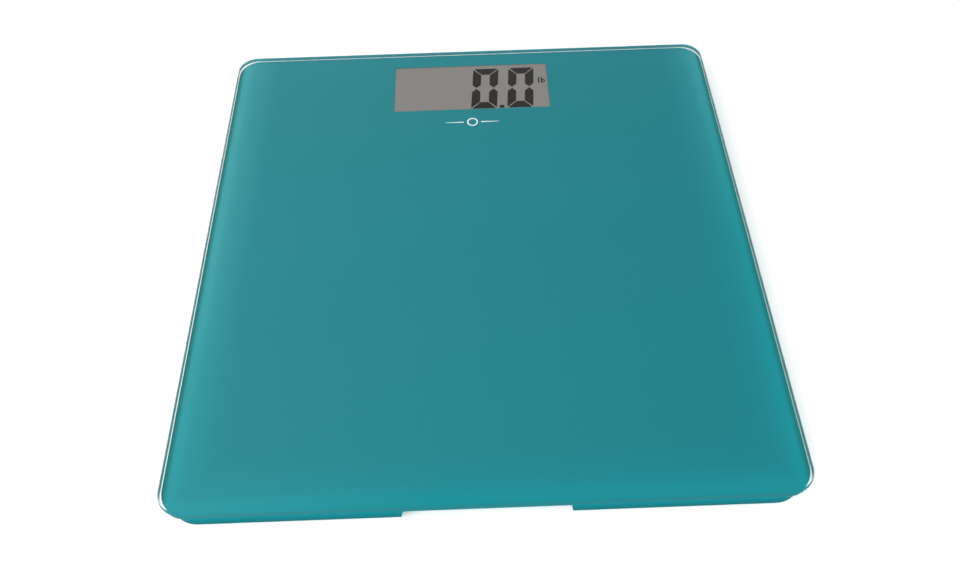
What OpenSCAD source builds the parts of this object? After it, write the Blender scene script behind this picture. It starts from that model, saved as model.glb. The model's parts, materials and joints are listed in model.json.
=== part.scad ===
// Digital glass platform scale: a glass platform, printed on its underside, on a shallow
// moulded tray, with a segment display behind the glass and four load-cell feet.
// Millimetres, +Z up, +Y towards the display. The origin is on the floor, at the middle.

/* [Platform glass] */
// Side of the square glass platform
glass_side = 300; // [290:1:320]
// Thickness of the glass
glass_t = 6; // [4:0.5:8]
// Corner radius of the glass in plan
glass_corner_r = 11.5; // [8:0.5:20]
// Radius ground on the upper edge of the glass
glass_edge_r = 1; // [0.6:0.1:1.8]
// How far the print on the underside of the glass stays in from its edge
print_inset = 0.5; // [0.5:0.1:2]
// Corner radius of the print
print_corner_r = 12.5; // [12:0.5:20]
// Thickness of the adhesive sheet under the print
sheet_t = 0.3; // [0.2:0.05:0.6]

/* [Tray] */
// Gap between the floor and the lower edge of the tray
floor_gap = 3.5; // [3.2:0.1:4]
// How far the tray stands in from the edge of the glass
tray_inset = 0.6; // [0.5:0.1:3]
// Corner radius of the tray in plan
tray_corner_r = 14; // [12:0.5:24]
// Width of the rounded shoulder round the top of the tray
shoulder_w = 3; // [2:0.5:6]
// Drop of the rounded shoulder
shoulder_drop = 1.2; // [1:0.1:3]
// Thickness of the side wall
wall_t = 2.4; // [2:0.1:2.6]
// Thickness of the top wall
top_t = 2.5; // [2.2:0.1:2.6]

/* [Finger recess] */
// Width of the recess at its lower edge
recess_w = 81; // [60:1:100]
// Height of the notch in the front wall
recess_h = 10.4; // [7:0.1:10.4]
// Depth of the recess behind the front wall
recess_depth = 28; // [15:1:35]

/* [Display] */
// Width of the display window
window_w = 97.5; // [80:0.5:99]
// Height of the display window
window_h = 39; // [30:0.5:40]
// Distance from the rear edge of the glass to the middle of the window
window_back = 30.5; // [30:0.1:37]

/* [Feet] */
// Distance from the edge of the glass to the middle of a foot
foot_inset = 38; // [37:0.5:42]
// Radius of the rubber pad
pad_r = 19; // [15:0.5:19.5]
// Free play of a foot before it hangs on its flange
foot_play = 0.6; // [0.3:0.1:0.6]

/* [Battery bay] */
// Distance of the bay's middle behind the middle of the scale
bay_y = 56; // [45:1:58]
// Diameter of the coin cell
cell_d = 20; // [16:1:20]
// Thickness of the coin cell
cell_t = 3.2; // [2.5:0.1:3.2]

/* [Hidden] */
$fn = 64;
CORNERS = [
    ["front_left", -1, -1], ["front_right", 1, -1],
    ["rear_left", -1, 1], ["rear_right", 1, 1],
];
CORNER_PARTS = [
    "load_cell", "strain_gauge", "cell_bracket", "foot_cup", "foot_pad", "cell_wires",
];

join = 0.2; // how deep one shape of a moulding runs into the next
past = 1; // how far a cutter runs past the face it cuts

// Heights above the floor
body_h = 13.1;
print_t = 0.1;
tray_top = floor_gap + body_h;
ceiling_z = tray_top - top_t;
sheet_top = tray_top + sheet_t;
print_top = sheet_top + print_t;
glass_top = print_top + glass_t;
cover_z = floor_gap + 0.5;
cover_t = 2.2;
cover_top = cover_z + cover_t;
notch_z = floor_gap + recess_h;

// Plan sizes
glass_half = glass_side / 2;
glass_low_r = 0.4;
tray_half = glass_half - tray_inset;
inner_half = tray_half - wall_t;
inner_r = tray_corner_r - wall_t;
cover_gap = 0.25;
cover_half = inner_half - cover_gap;
cover_r = inner_r - cover_gap;

// Finger recess
notch_slope = 1.7; // how far each side of the notch leans in towards its top
notch_r = 0.8; // rounding of the notch's corners
pocket_half = recess_w / 2 + 1;
pocket_wall = 1.6;
pocket_back = -inner_half + recess_depth;
pocket_play = 0.2; // gap between the pocket's walls and the tray's ceiling

// Slope between the tray's wall and its ceiling
ceiling_slope_w = 2.4;
ceiling_slope_h = 1.5;

// Tray ribs
rib_t = 1.5;
rib_z = 9.5;
rib_lines = [-90, -45, 0, 45, 90];

// Cover screws and their bosses
cover_screw_at = [
    for (sx = [-1, 1], p = [[72, 132], [134, 52], [72, -132], [134, -52], [40, 0]])
        [sx * p[0], p[1]] * glass_side / 300
];
boss_r = 3.5;
thread_r = 1.3;
boss_hole_r = 1.35;
head_r = 2.7;
head_h = 1.1;

// Display stack
window_y = glass_half - window_back;
lcd_gap = 0.3;
lcd_w = window_w + 1.4;
lcd_h = window_h + 1.4;
opening_w = lcd_w + 2 * lcd_gap;
opening_h = lcd_h + 2 * lcd_gap;
film_t = 0.2;
plate_t = 1.1;
lcd_top = tray_top - 0.1;
front_plate_top = lcd_top - film_t;
back_plate_top = front_plate_top - plate_t;
reflector_top = back_plate_top - plate_t;
holder_top = reflector_top - film_t;
ledge_w = 2.6; // contact ledge along each long side of the front plate
zebra_t = 1.6;
zebra_w = 90;

// Main board
board_w = 116;
board_h = 42;
board_t = 1.6;
board_z = 9;
board_top = board_z + board_t;
board_screw = [54, 16];
board_boss_r = 2.5;
board_hole_r = 1.0;
board_thread_r = 0.95;

// Unit button and its switch
button_at = [34, window_y - 12.8];
button_r = 4;
button_travel = 0.35;
flange_z = cover_top + 0.1;
flange_t = 0.5;
stem_top = 7.1;
switch_z = 7.5;
plunger_r = 1.6;
plunger_top = 8.3;

// Foot and load cell, as heights
foot_at = glass_half - foot_inset;
cup_z = 2;
cup_floor = 4;
cup_top = 9;
cup_r = 22.7;
cup_wall = 2.2;
flange_r = 23.7;
cup_flange_t = 1;
cell_plate_t = 2;
cell_z = cup_top + 0.05;
cell_top = cell_z + cell_plate_t;
cell_half = 17;
cell_corner_r = 4;
gauge_t = 0.6;
gauge_at = 8.5;
gauge_w = 7;
bracket_base_z = 12.3;
bracket_z = 6.6;
bracket_r = 25.5;
bracket_wall = 1.5;
lip_r = cup_r + 0.4;
lip_t = cup_top - cup_flange_t - foot_play - 0.1 - bracket_z;
ear_at = 31;
ear_r = 4;
ear_z = 8;
ear_t = 2;
ear_boss_r = 3.2;
foot_hole_r = 26;

// Battery bay, from its own middle
bay_w = 34;
bay_l = 30;
bay_fit = 0.3;
door_t = 1.8;
door_pin_r = 0.65;
door_pin_fit = 0.05;
door_pin_end = 18.6;
ledge_z = cover_z + door_t + 0.05;
tray_block_top = 12;
well_r = cell_d / 2 + 0.4;
well_top = 11;
cell_low = 6.8;
cell_high = cell_low + cell_t;
door_axis = [-bay_l / 2 + bay_fit + door_t / 2, cover_z + door_t / 2];
contact_t = 0.3;

// Wires
wire_r = 0.5;
wire_z = 8.4;
wire_pitch = 1.3;
wire_sides = 8;

/* ---------------------------------------------------------------- helpers */

// Points of an arc of an ellipse, from angle a to angle b
function arc(centre, rx, ry, a, b, steps) =
    [for (i = [0:steps]) let (t = a + (b - a) * i / steps)
        centre + [rx * cos(t), ry * sin(t)]];

// A slab with rounded corners whose edge follows rim, a list of [inset, height] upwards
module rim_slab(half, r, rim) {
    low = rim[0][1];
    high = rim[len(rim) - 1][1];
    flat = half - r;
    edge = [for (p = rim) [r - p[0], p[1]]];
    section = concat([[0, low]], edge, [[0, high]]);
    translate([-flat, -flat, low]) cube([2 * flat, 2 * flat, high - low]);
    for (a = [0:90:270]) rotate(a) {
        translate([flat, flat, 0]) rotate_extrude(angle = 90) polygon(section);
        translate([flat, 0, 0]) rotate([90, 0, 0])
            linear_extrude(2 * flat, center = true) polygon(section);
    }
}

// A flat plate with rounded corners, standing on z
module plate(w, l, r, z, t) {
    translate([0, 0, z]) linear_extrude(t) {
        square([w - 2 * r, l], center = true);
        square([w, l - 2 * r], center = true);
        for (sx = [-1, 1], sy = [-1, 1])
            translate([sx * (w / 2 - r), sy * (l / 2 - r)]) circle(r);
    }
}

// A box from its lowest and highest corners
module box(low, high) {
    translate(low) cube(high - low);
}

// A disc or rod between two heights
module rod(r, low, high) {
    translate([0, 0, low]) cylinder(r = r, h = high - low);
}

module at_points(points) {
    for (p = points) translate([p[0], p[1], 0]) children();
}

// At a corner foot, turned so that local +X points to the middle of the scale
module at_corner(c) {
    translate([c[1] * foot_at, c[2] * foot_at, 0]) rotate(atan2(-c[2], -c[1])) children();
}

module at_display() {
    translate([0, window_y, 0]) children();
}

module at_bay() {
    translate([0, bay_y, 0]) children();
}

module at_board_screws() {
    at_display() for (sx = [-1, 1], sy = [-1, 1])
        translate([sx * board_screw[0], sy * board_screw[1], 0]) children();
}

module at_ears() {
    for (s = [-1, 1]) translate([0, s * ear_at, 0]) children();
}

function unit(v) = v / norm(v);
function heading(path, i) =
    unit(path[min(i + 1, len(path) - 1)] - path[max(i - 1, 0)]);
function sideways(path, i) = unit(cross(heading(path, i), [0, 0, 1]));
function beside(path, d) = [for (i = [0:len(path) - 1]) path[i] + d * sideways(path, i)];

// Rounds each inner corner of a path with a curve that starts r before the corner
function eased(path, r, steps = 4) = concat(
    [path[0]],
    [for (i = [1:len(path) - 2], k = [0:steps])
        let (
            t = k / steps,
            a = path[i] + r * unit(path[i - 1] - path[i]),
            b = path[i] + r * unit(path[i + 1] - path[i])
        )
        (1 - t) * (1 - t) * a + 2 * t * (1 - t) * path[i] + t * t * b],
    [path[len(path) - 1]]
);

// A round wire along a path that never points straight up
module wire(path, r) {
    n = wire_sides;
    last = len(path) - 1;
    points = [for (i = [0:last]) let (s = sideways(path, i), u = cross(s, heading(path, i)))
        for (k = [0:n - 1]) let (a = 360 * k / n) path[i] + r * (cos(a) * s + sin(a) * u)];
    sides = [for (i = [0:last - 1], k = [0:n - 1]) let (m = (k + 1) % n)
        [i * n + k, i * n + m, (i + 1) * n + m, (i + 1) * n + k]];
    ends = [[for (k = [n - 1:-1:0]) k], [for (k = [0:n - 1]) last * n + k]];
    polyhedron(points = points, faces = concat(sides, ends), convexity = 4);
}

// A pan-head screw pointing up, with its head's underside at z
module screw(z, shaft_r, length, r, h) {
    difference() {
        union() {
            rod(r, z - h, z);
            rod(shaft_r, z - join, z + length);
        }
        for (a = [0, 90]) rotate(a)
            box([-r * 0.6, -0.3, z - h - past], [r * 0.6, 0.3, z - h / 2]);
    }
}

/* --------------------------------------------------------------- platform */

module platform_glass() {
    low = glass_low_r;
    high = glass_edge_r;
    rim = concat(
        arc([low, print_top + low], -low, -low, 90, 0, 3),
        arc([high, glass_top - high], -high, high, 0, 90, 6)
    );
    color([0.85, 0.95, 0.93, 0.35]) rim_slab(glass_half, glass_corner_r, rim);
}

module glass_print() {
    side = 2 * (glass_half - print_inset);
    color([0.1, 0.5, 0.53]) difference() {
        plate(side, side, print_corner_r, sheet_top, print_t);
        at_display() plate(window_w, window_h, 0.3, sheet_top - past, print_t + 2 * past);
    }
}

module adhesive_sheet() {
    side = 2 * (tray_half - shoulder_w) - 1;
    border = 2;
    color("whitesmoke") difference() {
        plate(side, side, tray_corner_r - shoulder_w, tray_top, sheet_t);
        at_display()
            plate(window_w + border, window_h + border, 0.5, tray_top - past, sheet_t + 2 * past);
    }
}

/* ------------------------------------------------------------- upper tray */

module tray_hull() {
    tuck = [1.6, 3];
    rim = concat(
        arc([tuck[0], floor_gap + tuck[1]], -tuck[0], -tuck[1], 90, 0, 8),
        arc([shoulder_w, tray_top - shoulder_drop], -shoulder_w, shoulder_drop, 0, 90, 12)
    );
    rim_slab(tray_half, tray_corner_r, rim);
}

module tray_hollow() {
    rim_slab(inner_half, inner_r, [
        [0, floor_gap - past], [0, ceiling_z - ceiling_slope_h], [ceiling_slope_w, ceiling_z],
    ]);
}

// The notch leans in on both sides, and its corners are rounded
module front_notch() {
    lean = atan2(recess_h, notch_slope);
    off = notch_r * tan(lean / 2);
    low = recess_w / 2 + off;
    top = recess_w / 2 - notch_slope - off;
    flare = arc([low, floor_gap + notch_r], notch_r, notch_r, 270, 270 - lean, 4);
    corner = arc([top, notch_z - notch_r], notch_r, notch_r, 90 - lean, 90, 4);
    side = concat([[low, floor_gap - past]], flare, corner);
    mirrored = [for (i = [len(side) - 1:-1:0]) [-side[i][0], side[i][1]]];
    translate([0, -inner_half + ceiling_slope_w + past, 0]) rotate([90, 0, 0])
        linear_extrude(wall_t + ceiling_slope_w + 2 * past) polygon(concat(side, mirrored));
}

// The space that the ribs leave free for the board, bay, recess and feet
module rib_clearances() {
    at_display() plate(board_w + 8, board_h + 12, 2, rib_z - past, body_h);
    at_bay() plate(bay_w + 8, bay_l + 8, 2, rib_z - past, body_h);
    box([-pocket_half - 4, -tray_half, rib_z - past], [pocket_half + 4, pocket_back + 5, tray_top]);
    for (c = CORNERS) at_corner(c) {
        rod(bracket_r + 2, rib_z - past, tray_top);
        at_ears() rod(ear_r + 1.5, rib_z - past, tray_top);
        box([20, -5, rib_z - past], [38, 5, tray_top]);
    }
}

module tray_ribs() {
    reach = inner_half + join;
    scale_by = glass_side / 300;
    difference() {
        for (p = rib_lines * scale_by) {
            box([p - rib_t / 2, -reach, rib_z], [p + rib_t / 2, reach, ceiling_z + join]);
            box([-reach, p - rib_t / 2, rib_z], [reach, p + rib_t / 2, ceiling_z + join]);
        }
        rib_clearances();
    }
}

module upper_tray() {
    color([0.1, 0.5, 0.53]) difference() {
        union() {
            difference() {
                tray_hull();
                tray_hollow();
                front_notch();
                at_display() plate(opening_w, opening_h, 0.5, ceiling_z - past, top_t + 2 * past);
            }
            tray_ribs();
            at_points(cover_screw_at) rod(boss_r, cover_top, ceiling_z + join);
            at_board_screws() rod(board_boss_r, board_top, ceiling_z + join);
            for (c = CORNERS) at_corner(c) at_ears()
                rod(ear_boss_r, ear_z + ear_t, ceiling_z + join);
        }
        at_points(cover_screw_at) rod(boss_hole_r, cover_top - past, ceiling_z - 0.6);
        at_board_screws() rod(board_hole_r, board_top - past, ceiling_z - 0.4);
        for (c = CORNERS) at_corner(c) at_ears()
            rod(board_hole_r, ear_z, ceiling_z - 0.4);
    }
}

/* ----------------------------------------------------------- bottom cover */

// Where the pocket's front clears the slope inside the tray
function slope_front(z) = -cover_half
    + max(0, ceiling_slope_w * (z - ceiling_z + ceiling_slope_h) / ceiling_slope_h);

// Walls round the hollow that the fingers reach into, under the tray's ceiling
module finger_pocket() {
    back = pocket_back + pocket_wall;
    top = ceiling_z - pocket_play;
    side = [
        [-cover_half, cover_z], [back, cover_z], [back, top], [slope_front(top), top],
        [-cover_half, ceiling_z - ceiling_slope_h],
    ];
    difference() {
        rotate([90, 0, 90])
            linear_extrude(2 * (pocket_half + pocket_wall), center = true) polygon(side);
        box([-pocket_half, -cover_half - past, cover_z - past],
            [pocket_half, pocket_back, top + past]);
    }
}

module bay_block() {
    at_bay() plate(bay_w + 2, bay_l + 2, 1.5, ledge_z, tray_block_top - ledge_z);
}

module bay_cuts() {
    door_side = cover_z - past;
    at_bay() {
        plate(bay_w, bay_l, 0.4, door_side, ledge_z - door_side);
        rod(well_r, door_side, well_top);
        // slot for the door's latch tongue
        box([-5.6, 12.4, door_side], [5.6, bay_l / 2, ledge_z + 2.6]);
        // finger scallop in front of the latch
        translate([0, bay_l / 2 + 1.5, 0]) rod(5, door_side, cover_z + 1.1);
        // slots for the contacts
        box([well_r - 0.8, -3.2, ledge_z - past], [well_r + 0.6, 3.2, tray_block_top + past]);
        box([-well_r - 3.4, -3.2, well_top - 1.1], [-well_r + 0.8, 3.2, well_top]);
        box([-well_r - 3.4, -3.2, well_top - 1.1], [-well_r - 2.8, 3.2, tray_block_top + past]);
        // sockets for the door's pins
        translate([0, door_axis[0], door_axis[1]]) rotate([0, 90, 0])
            cylinder(r = door_pin_r + door_pin_fit, h = 2 * door_pin_end + 0.4, center = true);
    }
}

module bottom_cover() {
    chamfer = 0.5;
    rim = [[chamfer, cover_z], [0, cover_z + chamfer], [0, cover_top]];
    color([0.1, 0.47, 0.5]) difference() {
        union() {
            difference() {
                rim_slab(cover_half, cover_r, rim);
                box([-pocket_half, -cover_half - past, cover_z - past],
                    [pocket_half, pocket_back, cover_top + past]);
                for (c = CORNERS) at_corner(c) rod(foot_hole_r, cover_z - past, cover_top + past);
            }
            finger_pocket();
            bay_block();
        }
        bay_cuts();
        translate(button_at) rod(button_r + 0.15, cover_z - past, cover_top + past);
        at_points(cover_screw_at) {
            rod(thread_r + 0.25, cover_z - past, cover_top + past);
            rod(head_r + 0.3, cover_z - past, cover_z + head_h);
        }
    }
}

module cover_screws() {
    color("silver") at_points(cover_screw_at)
        screw(cover_z + head_h, thread_r, 8, head_r, head_h - 0.1);
}

/* ---------------------------------------------------------------- display */

module display_polarizer() {
    color([0.45, 0.45, 0.43]) at_display()
        plate(lcd_w, lcd_h, 0.3, front_plate_top, film_t);
}

module display_front_plate() {
    color([0.7, 0.75, 0.72]) at_display() plate(lcd_w, lcd_h, 0.3, back_plate_top, plate_t);
}

module display_back_plate() {
    color([0.65, 0.7, 0.68]) at_display()
        plate(lcd_w, lcd_h - 2 * ledge_w, 0.3, reflector_top, plate_t);
}

module display_reflector() {
    color("gray") at_display() plate(lcd_w, lcd_h - 2 * ledge_w, 0.3, holder_top, film_t);
}

// Slots that hold the rubber contact strips upright
module zebra_slots(fit, low, high) {
    for (s = [-1, 1]) translate([0, s * (lcd_h / 2 - ledge_w / 2), 0])
        plate(zebra_w + 2 * fit, zebra_t + 2 * fit, 0.1, low, high - low);
}

module display_holder() {
    color("dimgray") at_display() difference() {
        plate(board_w, board_h, 2, board_top, holder_top - board_top);
        plate(lcd_w - 12, lcd_h - 14, 1, board_top - past, body_h);
        zebra_slots(0.1, board_top - past, holder_top + past);
        for (sx = [-1, 1], sy = [-1, 1]) translate([sx * board_screw[0], sy * board_screw[1], 0])
            rod(board_boss_r + 0.2, board_top - past, holder_top + past);
    }
}

module zebra_strips() {
    color([0.75, 0.55, 0.6]) at_display() zebra_slots(0, board_top, back_plate_top);
}

/* ------------------------------------------------------------- main board */

module main_board() {
    color("darkgreen") difference() {
        at_display() plate(board_w, board_h, 1.5, board_z, board_t);
        at_board_screws() rod(board_thread_r + 0.3, board_z - past, board_top + past);
    }
}

module board_screws() {
    color("silver") at_board_screws() screw(board_z, board_thread_r, 4, 2, 0.9);
}

// Epoxy blob over the bare chip on the underside of the board
module chip_blob() {
    r = 7;
    rise = 1.2;
    dome_r = (r * r + rise * rise) / (2 * rise);
    half_angle = asin(r / dome_r);
    dome = arc([0, dome_r - rise], dome_r, dome_r, -90, half_angle - 90, 8);
    color("black") translate([-12, window_y, board_z])
        rotate_extrude() polygon(concat([[0, 0]], dome));
}

// Surface-mounted resistors, capacitors and the clock crystal
module board_parts() {
    chip = [2, 1.25, 0.6];
    chips_at = [for (x = [-34, -28, 8, 14], y = [-6:5:9]) [x, y, board_z - chip[2]]];
    crystal_r = 1;
    color("dimgray") at_display() {
        for (p = chips_at) translate(p) cube(chip);
        translate([2, -12, board_z - crystal_r]) rotate([0, 90, 0]) cylinder(r = crystal_r, h = 6);
        for (x = [-22, -40]) translate([x, -13, 0]) rod(2, board_z - 2.2, board_z);
    }
}

module switch_body() {
    color("silver") difference() {
        translate(button_at) plate(6, 6, 0.4, switch_z, board_z - switch_z);
        translate(button_at)
            rod(plunger_r + 0.1, switch_z - past, plunger_top + button_travel + 0.15);
    }
}

module switch_plunger() {
    color("black") translate(button_at) rod(plunger_r, stem_top, plunger_top);
}

module unit_button() {
    color("gainsboro") translate(button_at) difference() {
        union() {
            rod(button_r, cover_z, flange_z + join);
            rod(button_r + 1.2, flange_z, flange_z + flange_t);
            rod(1.5, flange_z, stem_top);
        }
        rod(button_r - 1.2, cover_z - past, cover_z + 0.3);
    }
}

/* ------------------------------------------------------------ battery bay */

module coin_cell() {
    r = cell_d / 2;
    rim = 0.5;
    color("silver") at_bay() rotate_extrude() polygon([
        [0, cell_low], [r - rim, cell_low], [r, cell_low + rim], [r, cell_high - 0.8],
        [r - 1.2, cell_high - 0.6], [r - 1.8, cell_high], [0, cell_high],
    ]);
}

// A strip that bears on the rim of the cell, with a solder tab above the bay
module positive_contact() {
    inner = cell_d / 2 + 0.05;
    color("goldenrod") at_bay() {
        box([inner, -3, cell_low], [inner + contact_t, 3, tray_block_top + 0.3]);
        box([inner, -3, tray_block_top + 0.05], [inner + 4, 3, tray_block_top + 0.35]);
    }
}

// A leaf over the cell, stepped down to bear on it, with a solder tab above the bay
module negative_contact() {
    far = -well_r - 3.2;
    color("goldenrod") at_bay() {
        box([far, -3, well_top - contact_t - 0.05], [2, 3, well_top - 0.05]);
        for (y = [-1.4, 1.4]) translate([0, y, 0])
            box([-3, -0.8, cell_high + 0.05], [2, 0.8, well_top - contact_t]);
        box([far, -3, well_top - contact_t - 0.05], [far + contact_t, 3, tray_block_top + 0.35]);
        box([far - 3.5, -3, tray_block_top + 0.05], [far + contact_t, 3, tray_block_top + 0.35]);
    }
}

module battery_door() {
    w = bay_w - 2 * bay_fit;
    front = door_axis[0];
    back = bay_l / 2 - bay_fit;
    top = cover_z + door_t;
    color([0.1, 0.47, 0.5]) at_bay() {
        difference() {
            union() {
                box([-w / 2, front, cover_z], [w / 2, back, top]);
                translate([0, front, door_axis[1]]) rotate([0, 90, 0])
                    cylinder(r = door_t / 2, h = w, center = true);
                difference() {
                    rod(8, top - join, cell_low - 0.1);
                    rod(7, top - past, cell_low + past);
                }
                box([-4.5, 12.8, top - join], [4.5, 14, top + 2.2]);
            }
            // slits that free the latch tongue, and grip lines across it
            for (s = [-1, 1])
                box([s * 6 - 0.4, 9, cover_z - past], [s * 6 + 0.4, back + past, top + past]);
            for (y = [10.2, 11.6, 13])
                box([-4, y, cover_z - past], [4, y + 0.6, cover_z + 0.3]);
        }
        for (s = [-1, 1]) translate([s * (w / 2 - join), front, door_axis[1]])
            rotate([0, s * 90, 0]) cylinder(r = door_pin_r, h = door_pin_end - w / 2 + join);
    }
}

/* --------------------------------------------------- feet and load cells */

// A stamped plate whose middle tongue is bent between the foot and the tray
module load_cell() {
    slot_out = 8.5;
    slot_in = 6;
    slot_tip = -10.5;
    root = 10;
    color("silver") difference() {
        plate(2 * cell_half, 2 * cell_half, cell_corner_r, cell_z, cell_plate_t);
        difference() {
            box([slot_tip, -slot_out, cell_z - past], [root, slot_out, cell_top + past]);
            box([-8, -slot_in, cell_z - 2 * past], [root + past, slot_in, cell_top + 2 * past]);
        }
        rod(2.1, cell_z - past, cell_top + past);
        for (s = [-1, 1]) translate([0, s * 12.7, 0])
            rod(1.6, cell_z - past, cell_top + past);
    }
}

module strain_gauge() {
    color("ivory") translate([gauge_at, 0, 0]) plate(gauge_w, 8, 1, cell_top, gauge_t);
}

// Two screw ears on one bar that runs right across the bracket
module bracket_ears() {
    difference() {
        union() {
            box([-ear_r, -ear_at, ear_z], [ear_r, ear_at, ear_z + ear_t]);
            at_ears() rod(ear_r, ear_z, ear_z + ear_t);
        }
        at_ears() rod(board_thread_r + 0.25, ear_z - past, ear_z + ear_t + past);
    }
}

module cell_bracket() {
    color("whitesmoke") difference() {
        union() {
            rod(bracket_r, bracket_base_z, ceiling_z - 0.1);
            difference() {
                rod(bracket_r, bracket_z, bracket_base_z + join);
                rod(lip_r, bracket_z - past, bracket_z + lip_t + past);
                rod(bracket_r - bracket_wall, bracket_z + lip_t, bracket_base_z + past);
            }
            rod(4.5, cell_top, bracket_base_z + join);
            rod(1.9, cell_z + 0.4, bracket_base_z);
            difference() {
                bracket_ears();
                rod(bracket_r - bracket_wall, ear_z - past, ear_z + ear_t + past);
            }
        }
        // way out for the wires
        box([20, -3.5, cell_top - 0.6], [bracket_r + past, 3.5, bracket_base_z]);
    }
}

module bracket_screws() {
    color("silver") for (c = CORNERS) at_corner(c) at_ears()
        screw(ear_z, board_thread_r, 5, 2, 0.9);
}

module foot_cup() {
    color([0.12, 0.45, 0.48]) difference() {
        union() {
            difference() {
                union() {
                    rod(cup_r, cup_z, cup_top);
                    rod(flange_r, cup_top - cup_flange_t, cup_top);
                }
                rod(cup_r - cup_wall, cup_floor, cup_top + past);
            }
            for (y = [-15, 10]) box([-12, y, cup_floor - join], [12, y + 5, cup_top]);
        }
        rod(pad_r + 0.1, cup_z - past, cup_z + 0.6);
    }
}

// Rubber pad with ring-shaped grooves in its tread
module foot_pad() {
    bevel = 0.6;
    top = cup_z + 0.6;
    groove = 0.5;
    rings = [7, 12];
    tread = [for (r = rings, p = [[0, 0], [0.4, groove], [1.4, groove], [1.8, 0]]) [r + p[0], p[1]]];
    color([0.15, 0.15, 0.15]) rotate_extrude() polygon(concat(
        [[0, 0]], tread,
        [[pad_r - bevel, 0], [pad_r, bevel], [pad_r, top], [0, top]]
    ));
}

/* ------------------------------------------------------------------ wires */

// From a strain gauge, out of its bracket, to the underside of the board
function cell_route(c) =
    let (
        d = [-c[1], -c[2], 0] / sqrt(2),
        foot = [c[1] * foot_at, c[2] * foot_at, 0],
        x = c[1] * 66,
        start = gauge_at + gauge_w / 2 + 0.2,
        over = [0, 0, cell_top + wire_r],
        turn = c[2] < 0
            ? [[x, -60, wire_z], [x, window_y - 30, wire_z], [c[1] * 62, window_y - 8, wire_z]]
            : [[c[1] * 72, window_y, wire_z]],
        end = [c[1] * 46, window_y + (c[2] < 0 ? -7 : 8), wire_z]
    )
    concat(
        [foot + start * d + over, foot + 25 * d + over, foot + 35 * d + [0, 0, wire_z]],
        turn, [end]
    );

module cell_wires(c) {
    colours = ["red", "white", "black"];
    path = eased(cell_route(c), 4);
    for (k = [-1:1]) color(colours[k + 1]) wire(beside(path, k * wire_pitch), wire_r);
}

module battery_wires() {
    start_z = tray_block_top + 0.35 + wire_r;
    ends = [[11.5, 10], [-15, -4]];
    for (i = [0, 1]) let (x = ends[i][0], far = ends[i][1]) color(i == 0 ? "red" : "black")
        wire(eased([
            [x, bay_y - 2, start_z], [x, bay_y + bay_l / 2 + 2, start_z],
            [x, bay_y + bay_l / 2 + 12, wire_z], [far, window_y - 16, wire_z],
        ], 2.5), wire_r);
}

/* ------------------------------------------------------------------ nodes */

platform_glass();
glass_print();
adhesive_sheet();
upper_tray();
bottom_cover();
cover_screws();
display_polarizer();
display_front_plate();
display_back_plate();
display_reflector();
display_holder();
zebra_strips();
main_board();
board_screws();
chip_blob();
board_parts();
switch_body();
switch_plunger();
unit_button();
coin_cell();
positive_contact();
negative_contact();
battery_door();
battery_wires();
bracket_screws();
for (c = CORNERS) {
    at_corner(c) load_cell();
    at_corner(c) strain_gauge();
    at_corner(c) cell_bracket();
    at_corner(c) foot_cup();
    at_corner(c) foot_pad();
    cell_wires(c);
}
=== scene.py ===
"""Looks of the digital glass platform scale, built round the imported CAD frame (metres, +Z up)."""

import json
import math

import bpy
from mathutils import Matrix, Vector


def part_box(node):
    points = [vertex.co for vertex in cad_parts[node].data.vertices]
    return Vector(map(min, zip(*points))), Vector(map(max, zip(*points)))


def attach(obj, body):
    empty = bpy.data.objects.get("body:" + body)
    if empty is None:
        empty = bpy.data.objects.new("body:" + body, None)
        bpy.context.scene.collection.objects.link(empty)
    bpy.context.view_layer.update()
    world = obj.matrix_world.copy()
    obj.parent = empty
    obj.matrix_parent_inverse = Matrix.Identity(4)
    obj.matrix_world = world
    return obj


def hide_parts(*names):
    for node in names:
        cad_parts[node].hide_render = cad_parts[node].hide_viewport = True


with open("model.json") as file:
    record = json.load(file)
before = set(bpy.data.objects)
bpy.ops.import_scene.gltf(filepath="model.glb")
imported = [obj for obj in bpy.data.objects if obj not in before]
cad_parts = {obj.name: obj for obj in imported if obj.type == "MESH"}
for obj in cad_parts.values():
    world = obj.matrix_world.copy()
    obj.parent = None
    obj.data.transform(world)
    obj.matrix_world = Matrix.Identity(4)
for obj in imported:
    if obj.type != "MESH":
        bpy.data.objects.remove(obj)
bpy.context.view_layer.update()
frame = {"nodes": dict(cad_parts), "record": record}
MM = 0.001

# The platform and the display, from the frame
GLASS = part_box("platform_glass")
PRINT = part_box("glass_print")
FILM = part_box("display_polarizer")
GLASS_HALF = GLASS[1].x
WINDOW_Y = (FILM[0].y + FILM[1].y) / 2

# The edge of the glass
GLASS_CORNER_R = 11.5 * MM
GLASS_EDGE_R = 1.0 * MM  # rounding of its upper edge
GLASS_LOW_R = 0.4 * MM  # rounding of its lower edge
BOND = 0.02 * MM  # how deep the print sits in the glass, so that no air shows between them
UPRIGHT = 0.05  # Z of a face's normal up to which the face counts as upright
CLEAR_FRONT = (1 * MM, 8 * MM)  # behind the front face, where the edge starts and ends to cloud

# Painted light in the ink round the edge of the glass, where light entering the edge would brighten
# it. Its levels are (part of the reach, strength).
PAINTED_GLOW_REACH = 26 * MM  # how far the painted glow reaches inwards
PAINTED_GLOW_LEVELS = [(0.0, 1.0), (0.24, 1.0), (0.35, 0.6), (0.55, 0.33), (0.8, 0.12), (1.0, 0.0)]
PAINTED_GLOW_TURN = 1.2  # how strongly the painted glow's tone follows the way forwards, against the way to the right
PAINTED_RIM_SHADE_FADE = (GLASS_HALF - 3.6 * MM, GLASS_HALF - 1.6 * MM)  # where the painted shade of the dark rim starts and is full

# Thickness of the ink of the display's figures
INK_THICK = 0.02 * MM

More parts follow.
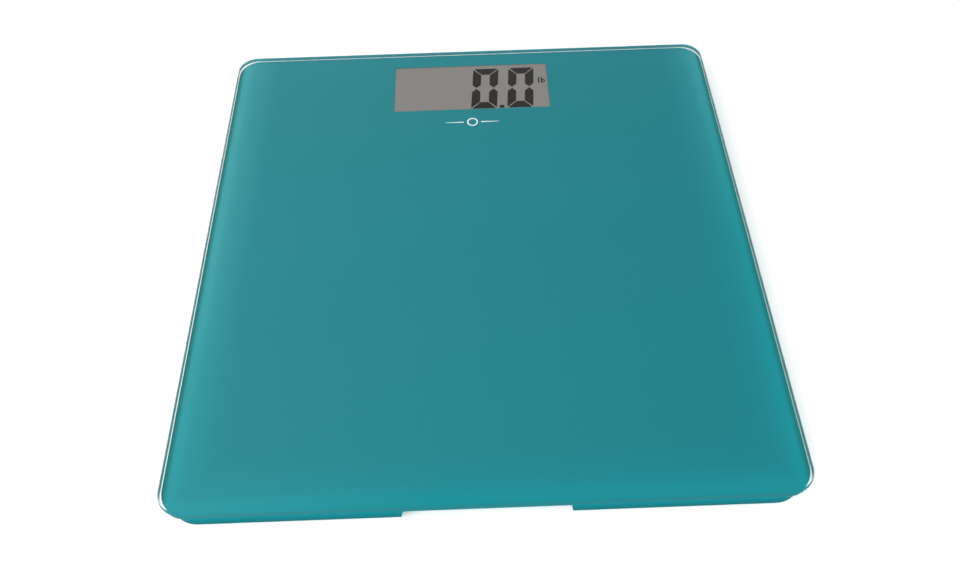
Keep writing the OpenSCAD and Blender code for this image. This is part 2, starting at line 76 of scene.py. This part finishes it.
# Colours
TEAL = (0.002, 0.212, 0.248)
TEAL_DARK = (0.004, 0.19, 0.215)
INK_FLAT_PAINTED_SIDELIGHT = [(0.025, 0.25, 0.284, 1), (0.007, 0.218, 0.252, 1)]  # on the left and on the right: painted light, lighter on the left where the light comes from
# painted light round the edge of the glass, on the left and on the right
INK_PAINTED_GLOW = [(0.056, 0.352, 0.382, 1), (0.007, 0.278, 0.32, 1)]
# painted shade of the dark rim along both sides of the glass
INK_PAINTED_RIM_SHADE = (0.012, 0.188, 0.185, 1)
EDGE_TINT = (0.93, 0.98, 0.97, 1)
EDGE_CLOUD = (0.82, 0.86, 0.87, 1)
MIRRORED = (0.08, 0.1, 0.1, 1)  # of the floor and the world in front, in mirrored rays
WIRE_COLORS = {"red": (0.45, 0.02, 0.015), "white": (0.72, 0.71, 0.68), "black": (0.02, 0.02, 0.02)}

# Noises that several materials share
NOISE_MIDDLE = (0.3, 0.7)  # the range that holds most of a noise
FLOW = 35 * MM  # size of the mottle that the flow of a plastic leaves
SWELL = 12 * MM  # size of the slow waves in a moulded face
GLOSS = 4 * MM  # size of the patches of slightly different gloss
ACROSS_X = (0.04, 1, 1)  # stretch of streaks that run along X

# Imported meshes
WELD = 0.002 * MM  # corners nearer than this are one
SMOOTH_ANGLE = math.radians(28)  # sharper edges stay sharp

# Seven-segment figures, in millimetres
FIGURE_W = 16.3
FIGURE_H = 35.6
BAR_W = 5.4  # of the upright bars
BAR_H = 5.5  # of the level bars
MITRE = 0.5  # half the gap between neighbouring bars, measured along a side
CORNER_CUT = 0.9  # off a figure's corners
WAIST = 0.4  # half the gap between an upper and a lower bar
WAIST_RISE = 2.8  # height of the point at a bar's waist
SLANT = math.tan(math.radians(4))
FIGURES_X = [-0.6, 22.1]
FIGURES_Y = -18.8  # foot of the figures, from the middle of the window
POINT_X = 17.3
POINT_W = 3.0
POINT_H = 2.6
SIGN_CORNER = (43.0, 2.4)
SIGN_H = 5.1

# The mark printed below the display
MARK_Y = WINDOW_Y - 30.5 * MM
MARK_RING = 3.4 * MM  # outer radius of its ring
MARK_BAR = 11 * MM  # length of each bar
MARK_GAP = 2 * MM  # between the ring and a bar
MARK_THICK = 0.9 * MM

# Floor, light and camera. The world's levels are (Z of a direction, brightness).
FLOOR_HALF = 6.0
FLOOR_TONE = (0.98, 0.98, 0.98)
FLOOR_AHEAD = (-GLASS_HALF + 2 * MM, -GLASS_HALF - 1 * MM)  # Y where the front of the floor begins
WORLD_LEVELS = [(0.0, 0.95), (0.3, 0.8), (0.55, 0.36), (0.95, 0.2)]
WORLD_BEHIND = (-0.4, -0.7)  # Y of a direction where the part behind the camera begins and is full
WORLD_STRENGTH = 1.05
KEY_PLACE = (-1.0, -1.7, 2.6)
KEY_SIZE = 3.0
KEY_POWER = 130
CAMERA_PLACE = (-1.7 * MM, -258.2 * MM, 369.2 * MM)
CAMERA_TURN = (32.58, 0.85, -1.90)  # degrees about X, Y and Z
CAMERA_LENS = 29.29


# ------------------------------------------------------------------ shader nodes


class Shader:
    """The nodes of a material or a world. Socket names are written with _ for each space."""

    def __init__(self, owner):
        owner.use_nodes = True
        self.owner = owner
        self.tree = owner.node_tree
        self.tree.nodes.clear()

    def put(self, socket, value):
        """Links a socket to another node's, or gives it a plain value."""
        if isinstance(value, bpy.types.NodeSocket):
            self.tree.links.new(value, socket)
        else:
            socket.default_value = value

    def node(self, kind, settings=None, **inputs):
        made = self.tree.nodes.new("ShaderNode" + kind)
        for key, value in (settings or {}).items():
            setattr(made, key, value)
        for key, value in inputs.items():
            self.put(made.inputs[key.replace("_", " ")], value)
        return made

    def place(self, stretch=(1, 1, 1)):
        """Object coordinates in metres, stretched along each axis."""
        where = self.node("TexCoord").outputs["Object"]
        if stretch == (1, 1, 1):
            return where
        return self.node("Mapping", Vector=where, Scale=stretch).outputs["Vector"]

    def place_of(self, axis):
        """One of the object coordinates in metres."""
        return self.node("SeparateXYZ", Vector=self.place()).outputs[axis]

    def noise(self, size, detail, stretch=(1, 1, 1)):
        """Noise with features of about that size in metres."""
        made = self.node("TexNoise", Vector=self.place(stretch), Scale=1 / size, Detail=detail)
        return made.outputs["Fac"]

    def ranged(self, value, start, stop, low=0.0, high=1.0):
        """Runs from low where the value is at start to high where it is at stop."""
        made = self.node("MapRange", Value=value, To_Min=low, To_Max=high)
        made.inputs["From Min"].default_value = start
        made.inputs["From Max"].default_value = stop
        return made.outputs["Result"]

    def spread(self, noise, low, high):
        """Stretches the middle of a noise to the range from low to high."""
        return self.ranged(noise, *NOISE_MIDDLE, low, high)

    def blend(self, factor, first, second):
        """A mix of two colours, through the colour sockets of a mix node."""
        made = self.node("Mix", {"data_type": "RGBA"})
        for index, value in ((0, factor), (6, first), (7, second)):
            self.put(made.inputs[index], value)
        return made.outputs[2]

    def math(self, operation, *values):
        made = self.node("Math", {"operation": operation})
        for socket, value in zip(made.inputs, values):
            self.put(socket, value)
        return made.outputs[0]

    def levels(self, value, stops, interpolation="LINEAR"):
        """A curve through stops of (place, level)."""
        made = self.node("ValToRGB", Fac=value)
        made.color_ramp.interpolation = interpolation
        for i, (at, level) in enumerate(stops):
            stop = made.color_ramp.elements[i] if i < 2 else made.color_ramp.elements.new(at)
            stop.position = at
            stop.color = (level, level, level, 1)
        return made.outputs["Color"]

    def mix(self, factor, first, second):
        """A mix of two shader nodes."""
        made = self.node("MixShader", Fac=factor)
        self.put(made.inputs[1], first.outputs[0])
        self.put(made.inputs[2], second.outputs[0])
        return made

    def bump(self, height, depth, normal=None):
        """A normal from a height of 0 to 1, which stands for that depth in metres."""
        made = self.node("Bump", Height=height, Strength=1.0, Distance=depth)
        if normal is not None:
            self.put(made.inputs["Normal"], normal)
        return made.outputs["Normal"]

    def finish(self, shader, output="OutputMaterial"):
        self.node(output, Surface=shader.outputs[0])
        return self.owner


def new_shader(name):
    return Shader(bpy.data.materials.new(name))


def shade(color, factor):
    return tuple(min(1.0, c * factor) for c in color[:3]) + (1.0,)


# ------------------------------------------------------------------ materials


def moulded(name, color, rough, grain, depth, mottle=0.05, level=0.5, shadow=None):
    """Moulded plastic: faint flow mottle, a fine grain and slightly uneven gloss.

    shadow is (height, height, factor): painted shade, how much darker the colour grows between two
    heights.
    """
    s = new_shader(name)
    mottled = s.spread(s.noise(FLOW, 3), 0, 1)
    surface = s.bump(s.noise(grain, 3), depth)
    surface = s.bump(s.noise(SWELL, 1), depth * 2, surface)
    tone = s.blend(mottled, shade(color, 1 - mottle), shade(color, 1 + mottle))
    if shadow:
        high, low, factor = shadow
        # painted shade: the colour grows darker towards the lower height
        tone = s.blend(s.ranged(s.place_of("Z"), high, low), tone, shade(color, factor))
    return s.finish(s.node(
        "BsdfPrincipled",
        Base_Color=tone,
        Roughness=s.spread(s.noise(GLOSS, 4), rough - 0.05, rough + 0.05),
        Specular_IOR_Level=level,
        Normal=surface,
    ))


def steel(name, color, rough, stretch):
    """Metal with fine streaks along one way, and a few duller clouds."""
    s = new_shader(name)
    streaks = s.noise(0.4 * MM, 4, stretch)
    clouds = s.spread(s.noise(6 * MM, 3), 0, 1)
    tone = s.blend(clouds, shade(color, 0.92), shade(color, 1.08))
    return s.finish(s.node(
        "BsdfPrincipled",
        Base_Color=tone,
        Metallic=1.0,
        Roughness=s.spread(streaks, rough - 0.08, rough + 0.1),
        Normal=s.bump(streaks, 0.004 * MM),
    ))


def rubber(name, color, grain=0.4 * MM, depth=0.02 * MM):
    """Matt rubber with a fine pebbled grain and a pale bloom."""
    s = new_shader(name)
    bloom = s.spread(s.noise(9 * MM, 4), 0, 1)
    return s.finish(s.node(
        "BsdfPrincipled",
        Base_Color=s.blend(bloom, shade(color, 0.85), shade(color, 1.35)),
        Roughness=s.spread(s.noise(3 * MM, 3), 0.72, 0.88),
        Specular_IOR_Level=0.35,
        Sheen_Weight=0.15,
        Normal=s.bump(s.noise(grain, 3), depth),
    ))


def open_to_lamps(s, glass, tint):
    """Finishes a glass that lets light through to what lies behind it."""
    through = s.node("BsdfTransparent", Color=tint)
    return s.finish(s.mix(s.node("LightPath").outputs["Is Shadow Ray"], glass, through))


def clear_glass(name, tint, wipe=0.006):
    """Clear glass with faint wiped patches, whose roughness is at most wipe."""
    s = new_shader(name)
    glass = s.node(
        "BsdfPrincipled",
        Base_Color=tint,
        Roughness=s.spread(s.noise(20 * MM, 4), 0.0, wipe),
        IOR=1.5,
        Transmission_Weight=1.0,
    )
    return open_to_lamps(s, glass, tint)


def ground_glass(name, rough, haze):
    """The ground and polished edge of the glass, cloudy except in front, where it is clear."""
    s = new_shader(name)
    clear = s.node(
        "BsdfPrincipled",
        Base_Color=EDGE_TINT,
        Roughness=s.spread(s.noise(1.2 * MM, 4, (0.3, 0.3, 1)), rough - 0.04, rough + 0.06),
        IOR=1.5,
        Transmission_Weight=1.0,
        Normal=s.bump(s.noise(0.6 * MM, 2), 0.004 * MM),
    )
    cloud = s.node("BsdfTranslucent", Color=EDGE_CLOUD)
    start, stop = (depth - GLASS_HALF for depth in CLEAR_FRONT)
    cloudy = s.math("MULTIPLY", s.ranged(s.place_of("Y"), start, stop), haze)
    return open_to_lamps(s, s.mix(cloudy, clear, cloud), EDGE_TINT)


def glass_ink_painted_light_and_shade(name, flat, glow, rim):
    """Ink on the glass, with painted shade along both sides and painted light where light enters the
    edge.

    flat and glow each have a painted lit tone for the side that most light comes from and a painted
    shaded one for the far side.
    """
    s = new_shader(name)
    x = s.place_of("X")
    ahead = s.math("MULTIPLY", s.place_of("Y"), -1.0)
    sideways = s.math("ABSOLUTE", x)
    edge = s.math("MAXIMUM", sideways, ahead)
    inwards = s.ranged(edge, GLASS_HALF, GLASS_HALF - PAINTED_GLOW_REACH)
    shaded = s.math("ADD", x, s.math("MULTIPLY", ahead, PAINTED_GLOW_TURN))
    # painted light: the flat ink is lighter on the left, where the light comes from, than on the right
    surface = s.blend(s.ranged(x, -GLASS_HALF, GLASS_HALF), *flat)
    # painted light: brighter ink along the edges of the glass, fading inwards
    lit = s.blend(s.ranged(shaded, -GLASS_HALF, GLASS_HALF), *glow)
    surface = s.blend(s.levels(inwards, PAINTED_GLOW_LEVELS), surface, lit)
    # painted shade: a dark rim of ink along both sides of the glass
    surface = s.blend(s.ranged(sideways, *PAINTED_RIM_SHADE_FADE), surface, rim)
    return s.finish(s.node(
        "BsdfPrincipled",
        Base_Color=surface,
        Roughness=s.spread(s.noise(GLOSS, 3), 0.5, 0.6),
        Specular_IOR_Level=0.1,
        Normal=s.bump(s.noise(0.6 * MM, 2), 0.001 * MM),
    ))


def display_film(name, color):
    """Grey polarising film with a satin grain."""
    s = new_shader(name)
    grain = s.noise(0.25 * MM, 3)
    cloud = s.spread(s.noise(30 * MM, 2), 0, 1)
    return s.finish(s.node(
        "BsdfPrincipled",
        Base_Color=s.blend(cloud, shade(color, 0.97), shade(color, 1.03)),
        Roughness=s.spread(grain, 0.38, 0.5),
        Specular_IOR_Level=0.1,
        Normal=s.bump(grain, 0.003 * MM),
    ))


def striped_rubber(name, light, dark):
    """Contact rubber: conductive layers between insulating ones, across the strip."""
    s = new_shader(name)
    wave = s.node(
        "TexWave", {"wave_type": "BANDS", "bands_direction": "X"}, Vector=s.place(),
        Scale=1500.0, Distortion=0.0,
    )
    return s.finish(s.node(
        "BsdfPrincipled",
        Base_Color=s.blend(wave.outputs["Fac"], light, dark),
        Roughness=s.spread(s.noise(1 * MM, 2), 0.55, 0.7),
    ))


def circuit(name, mask, track):
    """Green solder mask with slightly paler copper tracks under it."""
    s = new_shader(name)
    cells = s.node(
        "TexBrick", {"offset": 0.5}, Vector=s.place(), Scale=260.0, Mortar_Size=0.09,
        Mortar_Smooth=0.2, Color1=(1, 1, 1, 1), Color2=(0.8, 0.8, 0.8, 1), Mortar=(0, 0, 0, 1),
    )
    raised = cells.outputs["Fac"]
    return s.finish(s.node(
        "BsdfPrincipled",
        Base_Color=s.blend(raised, mask, track),
        Roughness=s.spread(s.noise(GLOSS, 3), 0.3, 0.45),
        Normal=s.bump(raised, 0.02 * MM),
    ))


def pale_floor(name, color, mirrored):
    """A pale floor, whose part in front of the scale is darker where it is seen mirrored."""
    s = new_shader(name)
    cloud = s.spread(s.noise(0.6, 3), 0, 1)
    pale = s.blend(cloud, shade(color, 0.99), shade(color, 1.01))
    ahead = s.ranged(s.place_of("Y"), *FLOOR_AHEAD)
    dim = s.math("MULTIPLY", ahead, s.node("LightPath").outputs["Is Glossy Ray"])
    return s.finish(s.node(
        "BsdfPrincipled",
        Base_Color=s.blend(dim, pale, mirrored),
        Roughness=0.9,
        Specular_IOR_Level=0.1,
    ))


# Materials by slot. A moulded or a rubber one has its roughness, and the size and depth of its grain.
MATERIALS = {
    "clear_glass": clear_glass("clear_glass", (0.95, 0.985, 0.98, 1)),
    # the print ink's colour, with painted light and painted shade
    "print_ink": glass_ink_painted_light_and_shade("glass_ink_painted_light_and_shade", INK_FLAT_PAINTED_SIDELIGHT, INK_PAINTED_GLOW, INK_PAINTED_RIM_SHADE),
    "mark_ink": moulded(
        "mark_ink", (0.92, 0.93, 0.93), 0.5, 0.4 * MM, 0.001 * MM, mottle=0.02, level=0.3
    ),
    "sheet_film": moulded(
        "pale_film", (0.7, 0.7, 0.68), 0.5, 0.6 * MM, 0.002 * MM, mottle=0.03, level=0.3
    ),
    # painted shade: the tray's skirt grows darker towards its lower edge
    "tray_plastic": moulded(
        "teal_satin", TEAL, 0.42, 0.5 * MM, 0.004 * MM, mottle=0.03, level=0.03,
        shadow=(14 * MM, 4 * MM, 0.58),
    ),
    "cover_plastic": moulded(
        "teal_textured", TEAL_DARK, 0.52, 0.4 * MM, 0.03 * MM, mottle=0.06, level=0.25
    ),
    "screw_steel": steel("zinc_steel", (0.48, 0.48, 0.5), 0.34, (1, 1, 1)),
    "lcd_film": display_film("display_film", (0.294, 0.246, 0.235)),
    "lcd_glass": clear_glass("display_glass", (0.93, 0.96, 0.95, 1), wipe=0.01),
    "lcd_reflector": steel("reflector_film", (0.55, 0.55, 0.53), 0.42, ACROSS_X),
    "lcd_ink": moulded(
        "display_ink", (0.004, 0.002, 0.001), 0.45, 0.4 * MM, 0.001 * MM, mottle=0.1, level=0.05
    ),
    "holder_plastic": moulded("holder_grey", (0.05, 0.05, 0.055), 0.5, 0.5 * MM, 0.02 * MM),
    "zebra_rubber": striped_rubber("zebra_rubber", (0.55, 0.3, 0.34, 1), (0.05, 0.04, 0.04, 1)),
    "board": circuit("solder_mask", (0.012, 0.10, 0.035, 1), (0.03, 0.19, 0.07, 1)),
    "epoxy": moulded("epoxy_black", (0.012, 0.012, 0.013), 0.22, 2 * MM, 0.02 * MM, mottle=0.2),
    "chip_parts": moulded(
        "chip_body", (0.09, 0.08, 0.07), 0.45, 0.5 * MM, 0.01 * MM, mottle=0.3
    ),
    "switch_shell": steel("switch_steel", (0.58, 0.58, 0.57), 0.3, ACROSS_X),
    "black_plastic": moulded("plunger_black", (0.02, 0.02, 0.02), 0.4, 0.5 * MM, 0.01 * MM),
    "button_plastic": moulded(
        "button_white", (0.74, 0.75, 0.72), 0.42, 0.5 * MM, 0.012 * MM, mottle=0.02
    ),
    "cell_steel": steel("nickel_steel", (0.66, 0.65, 0.62), 0.26, (1, 0.04, 1)),
    "contact_brass": steel("contact_brass", (0.74, 0.62, 0.38), 0.3, (0.05, 1, 1)),
    "cell_plate_steel": steel("plate_steel", (0.53, 0.53, 0.54), 0.32, (0.03, 1, 1)),
    "gauge_sealant": rubber("gauge_sealant", (0.62, 0.61, 0.55), 1.5 * MM, 0.06 * MM),
    "bracket_plastic": moulded(
        "bracket_white", (0.66, 0.67, 0.65), 0.5, 0.5 * MM, 0.02 * MM, mottle=0.02
    ),
    "pad_rubber": rubber("pad_rubber", (0.035, 0.035, 0.037)),
}
WIRES = {
    color: moulded(f"wire_{color}", rgb, 0.45, 0.6 * MM, 0.01 * MM)
    for color, rgb in WIRE_COLORS.items()
}
EDGE_GLASS = ground_glass("edge_glass", 0.12, 0.02)
ARRIS_GLASS = ground_glass("arris_glass", 0.2, 0.16)


# ------------------------------------------------------------------ CAD nodes


def smooth_by_angle(angle):
    """A modifier group that shades smooth across every edge flatter than angle."""
    group = bpy.data.node_groups.new("smooth_by_angle", "GeometryNodeTree")
    group.interface.new_socket("Geometry", in_out="INPUT", socket_type="NodeSocketGeometry")
    group.interface.new_socket("Geometry", in_out="OUTPUT", socket_type="NodeSocketGeometry")
    inlet = group.nodes.new("NodeGroupInput")
    outlet = group.nodes.new("NodeGroupOutput")
    edge = group.nodes.new("GeometryNodeInputMeshEdgeAngle")
    flat = group.nodes.new("FunctionNodeCompare")
    flat.data_type = "FLOAT"
    flat.operation = "LESS_EQUAL"
    flat.inputs["B"].default_value = angle
    edges = group.nodes.new("GeometryNodeSetShadeSmooth")
    edges.domain = "EDGE"
    faces = group.nodes.new("GeometryNodeSetShadeSmooth")
    faces.domain = "FACE"
    join = group.links.new
    join(edge.outputs["Unsigned Angle"], flat.inputs["A"])
    join(inlet.outputs[0], faces.inputs["Geometry"])
    join(faces.outputs[0], edges.inputs["Geometry"])
    join(flat.outputs["Result"], edges.inputs["Shade Smooth"])
    join(edges.outputs[0], outlet.inputs[0])
    return group


SMOOTH = smooth_by_angle(SMOOTH_ANGLE)


def smooth(piece):
    """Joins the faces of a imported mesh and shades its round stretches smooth."""
    for name in ("custom_normal", "sharp_edge"):
        layer = piece.data.attributes.get(name)
        if layer is not None:
            piece.data.attributes.remove(layer)
    weld = piece.modifiers.new("weld", "WELD")
    weld.merge_threshold = WELD
    rounding = piece.modifiers.new("smooth", "NODES")
    rounding.node_group = SMOOTH


def islands(mesh):
    """Groups of polygon indices that share corners in space, in order of their first polygon."""
    owner = {}

    def root(key):
        while owner[key] != key:
            owner[key] = owner[owner[key]]
            key = owner[key]
        return key

    keys = [tuple(round(c / WELD) for c in v.co) for v in mesh.vertices]
    for key in keys:
        owner.setdefault(key, key)
    for polygon in mesh.polygons:
        first = root(keys[polygon.vertices[0]])
        for vertex in polygon.vertices[1:]:
            owner[root(keys[vertex])] = first
    groups = {}
    for polygon in mesh.polygons:
        groups.setdefault(root(keys[polygon.vertices[0]]), []).append(polygon.index)
    return list(groups.values())


def color_wires(piece, colors):
    """One material for each separate lead of a loom."""
    piece.data.materials.clear()
    for color in colors:
        piece.data.materials.append(WIRES[color])
    for index, polygons in enumerate(islands(piece.data)):
        for polygon in polygons:
            piece.data.polygons[polygon].material_index = index


slot_of = {row["node"]: row["material_slot"] for row in frame["record"]["subparts"]}
for node_name, node_piece in frame["nodes"].items():
    smooth(node_piece)
    if slot_of[node_name] in MATERIALS:
        node_piece.data.materials.clear()
        node_piece.data.materials.append(MATERIALS[slot_of[node_name]])
    elif node_name == "battery_wires":
        color_wires(node_piece, ["red", "black"])
    else:
        color_wires(node_piece, ["red", "white", "black"])


# ------------------------------------------------------------------ new pieces


def arc(centre, radius, start, stop, steps):
    """Points of an arc between two angles in degrees."""
    return [
        (centre[0] + radius * math.cos(a), centre[1] + radius * math.sin(a))
        for a in (math.radians(start + (stop - start) * i / steps) for i in range(steps + 1))
    ]


def rounded_square(half, radius, steps):
    """Outline of a square with rounded corners, counter-clockwise."""
    flat = half - radius
    points = []
    for turn, (sx, sy) in enumerate(((1, 1), (-1, 1), (-1, -1), (1, -1))):
        points += arc((sx * flat, sy * flat), radius, 90 * turn, 90 * turn + 90, steps)
    return points


def new_piece(name, mesh, slot):
    """Places a mesh as a piece of the housing, with its slot's material."""
    mesh.materials.append(MATERIALS[slot])
    piece = bpy.data.objects.new(name, mesh)
    bpy.context.scene.collection.objects.link(piece)
    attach(piece, "housing")
    return piece


def lofted_slab(name, half, radius, rim, slot, corner_steps=20):
    """A rounded square slab whose edge follows rim, a list of (inset, height) upwards."""
    verts, faces = [], []
    count = 4 * (corner_steps + 1)
    for inset, height in rim:
        loop = rounded_square(half - inset, radius - inset, corner_steps)
        verts += [(x, y, height) for x, y in loop]
    for ring in range(len(rim) - 1):
        for i in range(count):
            j = (i + 1) % count
            low, high = ring * count, (ring + 1) * count
            faces.append((low + i, low + j, high + j, high + i))
    faces.append(tuple(reversed(range(count))))
    faces.append(tuple(range(len(verts) - count, len(verts))))
    mesh = bpy.data.meshes.new(name)
    mesh.from_pydata(verts, [], faces)
    mesh.validate()
    piece = new_piece(name, mesh, slot)
    for polygon in piece.data.polygons[:-2]:
        polygon.use_smooth = True
    return piece


def cut_plate(name, outlines, low, high, slot):
    """A thin plate between two heights. Its outlines are filled, and those inside others are holes."""
    curve = bpy.data.curves.new(name, "CURVE")
    curve.dimensions = "2D"
    curve.fill_mode = "BOTH"
    curve.extrude = (high - low) / 2
    for outline in outlines:
        spline = curve.splines.new("POLY")
        spline.points.add(len(outline) - 1)
        for point, (x, y) in zip(spline.points, outline):
            point.co = (x, y, 0, 1)
        spline.use_cyclic_u = True
    shape = bpy.data.objects.new(name + "_outline", curve)
    shape.location.z = (low + high) / 2
    bpy.context.scene.collection.objects.link(shape)
    bpy.context.view_layer.update()
    depsgraph = bpy.context.evaluated_depsgraph_get()
    mesh = bpy.data.meshes.new_from_object(shape.evaluated_get(depsgraph))
    mesh.transform(shape.matrix_world)
    bpy.data.objects.remove(shape)
    bpy.data.curves.remove(curve)
    mesh.name = name
    mesh.materials.clear()
    return new_piece(name, mesh, slot)


def glass_platform():
    """The platform glass with a fully polished, evenly rounded edge."""
    low, high = GLASS[0].z - BOND, GLASS[1].z
    under = [
        (GLASS_LOW_R - x, low + GLASS_LOW_R + y) for x, y in arc((0, 0), GLASS_LOW_R, -90, 0, 5)
    ]
    over = [
        (GLASS_EDGE_R - x, high - GLASS_EDGE_R + y) for x, y in arc((0, 0), GLASS_EDGE_R, 0, 90, 10)
    ]
    piece = lofted_slab("glass_platform", GLASS_HALF, GLASS_CORNER_R, under + over, "clear_glass")
    piece.data.materials.append(EDGE_GLASS)
    piece.data.materials.append(ARRIS_GLASS)
    for polygon in piece.data.polygons[:-2]:
        polygon.material_index = 1 if abs(polygon.normal.z) < UPRIGHT else 2
    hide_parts("platform_glass")


def bars_of_zero():
    """Outlines of the six bars of a 0, with mitred ends, cut corners and pointed waists."""
    w, h, b, t, m, cut = FIGURE_W, FIGURE_H, BAR_W, BAR_H, MITRE, CORNER_CUT
    tip = h / 2 + WAIST
    top = [
        (m + cut, h), (w - m - cut, h), (w - m - cut / 2, h - cut / 2),
        (w - b - m / 2, h - t), (b + m / 2, h - t), (m + cut / 2, h - cut / 2),
    ]
    upper_left = [
        (0, h - m - cut), (cut / 3, h - m - cut / 2), (b, h - t - m),
        (b, tip + WAIST_RISE), (b / 2, tip), (0, tip + WAIST_RISE),
    ]
    bars = [top, upper_left, [(w - x, y) for x, y in upper_left]]
    return bars + [[(x, h - y) for x, y in bar] for bar in bars]


def unit_sign(corner, height):
    """The pounds sign of the display: a stem, and a stem with a bowl beside it."""
    x, y = corner
    stem = height * 0.19
    bowl = height * 0.32
    thick = stem * 0.8
    second = x + stem * 1.9
    stems = [
        [(left, y), (left + stem, y), (left + stem, y + height), (left, y + height)]
        for left in (x, second)
    ]
    centre = (second + stem * 1.02, y + bowl)  # just clear of the stem, as an overlap is a hole
    ring = arc(centre, bowl, -90, 90, 14) + arc(centre, bowl - thick, 90, -90, 14)
    return stems + [ring]


def display_figures():
    """The dark bars of the display, its decimal point and a small unit sign."""
    point = [(0, 0), (POINT_W, 0), (POINT_W, POINT_H), (0, POINT_H)]
    upright = [(left, bar) for left in FIGURES_X for bar in bars_of_zero()]
    upright.append((POINT_X, point))
    outlines = [
        [(left + x + y * SLANT, FIGURES_Y + y) for x, y in outline] for left, outline in upright
    ]
    outlines += unit_sign(SIGN_CORNER, SIGN_H)
    placed = [[(x * MM, WINDOW_Y + y * MM) for x, y in outline] for outline in outlines]
    top = FILM[1].z
    cut_plate("display_figures", placed, top, top + INK_THICK, "lcd_ink")


def printed_mark():
    """A plain ring between two tapered bars, printed under the glass below the display."""
    outlines = [
        arc((0, MARK_Y), radius, 0, 360, 45)[:-1] for radius in (MARK_RING, MARK_RING - MARK_THICK)
    ]
    near, far = MARK_RING + MARK_GAP, MARK_RING + MARK_GAP + MARK_BAR
    wide, narrow = MARK_THICK / 2, MARK_THICK / 6
    for side in (-1, 1):
        outlines.append([
            (side * near, MARK_Y - wide), (side * far, MARK_Y - narrow),
            (side * far, MARK_Y + narrow), (side * near, MARK_Y + wide),
        ])
    top = PRINT[1].z + BOND
    cut_plate("printed_mark", outlines, top - 2 * BOND, top, "mark_ink")


glass_platform()
display_figures()
printed_mark()


# ------------------------------------------------------------------ floor, light and camera


def floor():
    """A square floor that the scale stands on."""
    corners = [(x * FLOOR_HALF, y * FLOOR_HALF, 0) for x, y in ((-1, -1), (1, -1), (1, 1), (-1, 1))]
    mesh = bpy.data.meshes.new("floor")
    mesh.from_pydata(corners, [], [(0, 1, 2, 3)])
    mesh.materials.append(pale_floor("pale_floor", FLOOR_TONE, MIRRORED))
    piece = bpy.data.objects.new("floor", mesh)
    bpy.context.scene.collection.objects.link(piece)


def tent():
    """A light tent as the world: bright round the horizon, dim overhead.

    The part behind the camera is darker where it is seen mirrored.
    """
    world = bpy.data.worlds.new("tent")
    bpy.context.scene.world = world
    s = Shader(world)
    _, y, z = s.node("SeparateXYZ", Vector=s.node("TexCoord").outputs["Generated"]).outputs
    glossy = s.node("LightPath").outputs["Is Glossy Ray"]
    dim = s.math("MULTIPLY", s.ranged(y, *WORLD_BEHIND), glossy)
    light = s.blend(dim, s.levels(z, WORLD_LEVELS, "EASE"), MIRRORED)
    s.finish(s.node("Background", Color=light, Strength=WORLD_STRENGTH), "OutputWorld")


def key():
    """A large soft lamp in front on the left, aimed at the middle of the floor.

    Mirrored and bent rays don't see it: through the rounded edge it would draw a bright line.
    """
    light = bpy.data.lights.new("key", "AREA")
    light.shape = "DISK"
    light.size = KEY_SIZE
    light.energy = KEY_POWER
    lamp = bpy.data.objects.new("key", light)
    lamp.location = KEY_PLACE
    lamp.rotation_euler = (-Vector(KEY_PLACE)).to_track_quat("-Z", "Y").to_euler()
    lamp.visible_glossy = False
    lamp.visible_transmission = False
    bpy.context.scene.collection.objects.link(lamp)


def camera():
    data = bpy.data.cameras.new("camera")
    data.lens = CAMERA_LENS
    data.sensor_width = 36
    data.clip_start = 10 * MM
    view = bpy.data.objects.new("camera", data)
    view.location = CAMERA_PLACE
    view.rotation_euler = [math.radians(angle) for angle in CAMERA_TURN]
    bpy.context.scene.collection.objects.link(view)
    bpy.context.scene.camera = view


bpy.context.scene.view_settings.view_transform = "Standard"
floor()
tent()
key()
camera()
